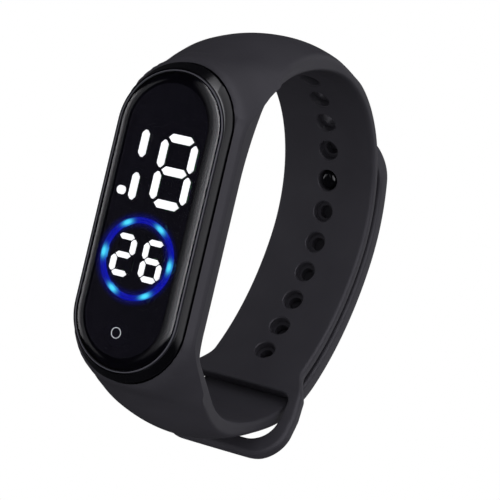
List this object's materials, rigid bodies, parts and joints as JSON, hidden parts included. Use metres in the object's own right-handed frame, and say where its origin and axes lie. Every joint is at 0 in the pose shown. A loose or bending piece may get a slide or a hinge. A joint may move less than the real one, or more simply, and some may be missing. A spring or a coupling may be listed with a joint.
{
  "type": "digital wristwatch",
  "caption": "Digital wristwatch: a long rounded display module in a one-piece rubber strap that threads through its own end loop and closes with a stud.",
  "frame": {"origin": "centre of the back cover's outer face, which lies against the wrist", "axes": "+X to 3 o'clock and across the strap, +Z to 12 o'clock, -Y out of the watch face, +Y towards the clasp"},
  "size_m": [0.0232, 0.0614, 0.0663],
  "materials": {
    "strap_rubber": "matt black silicone with a soft sheen",
    "stud_gloss": "glossy black",
    "lens_gloss": "smoked, polished",
    "case_plastic": "satin black",
    "gasket_grey": "dark grey",
    "mask_black": "matt black",
    "digit_white": "lit white",
    "digit_unlit": "dark, unlit",
    "ring_blue": "lit blue",
    "board_green": "solder resist",
    "chip_black": "moulded",
    "bright_steel": "plated",
    "battery_steel": "fine brushed",
    "holder_plastic": "moulded",
    "seal_rubber": "soft"
  },
  "bodies": {
    "strap": {"strap": "strap_rubber"},
    "tail_flap": {"strap_tail": "strap_rubber", "stud": "stud_gloss", "stud_cap": "stud_gloss"},
    "module": {"lens": "lens_gloss", "lens_gasket": "gasket_grey", "case_shell": "case_plastic", "light_mask": "mask_black", "hour_segments": "digit_white", "minute_segments": "digit_white", "unlit_segments": "digit_unlit", "ring_light_guide": "ring_blue", "ring_leds": "digit_white", "digit_leds": "digit_white", "circuit_board": "board_green", "microcontroller": "chip_black", "clock_crystal": "bright_steel", "touch_electrode": "bright_steel", "touch_mark": "digit_white", "contact_negative": "bright_steel", "contact_positive": "bright_steel", "battery_can": "battery_steel", "battery_cap": "battery_steel", "battery_holder": "holder_plastic", "back_cover": "case_plastic", "cover_seal": "seal_rubber", "cover_screws": "bright_steel"}
  },
  "joints": [
    {"name": "tail_flap", "type": "hinge", "parent": "strap", "child": "tail_flap", "pos_m": [0, 0.05048, -0.00212], "axis": [-1, 0, 0], "range_deg": [0, 75]},
    {"name": "module", "type": "slide", "parent": "strap", "child": "module", "axis": [0, -1, 0], "range_m": [0, 0.012]}
  ]
}
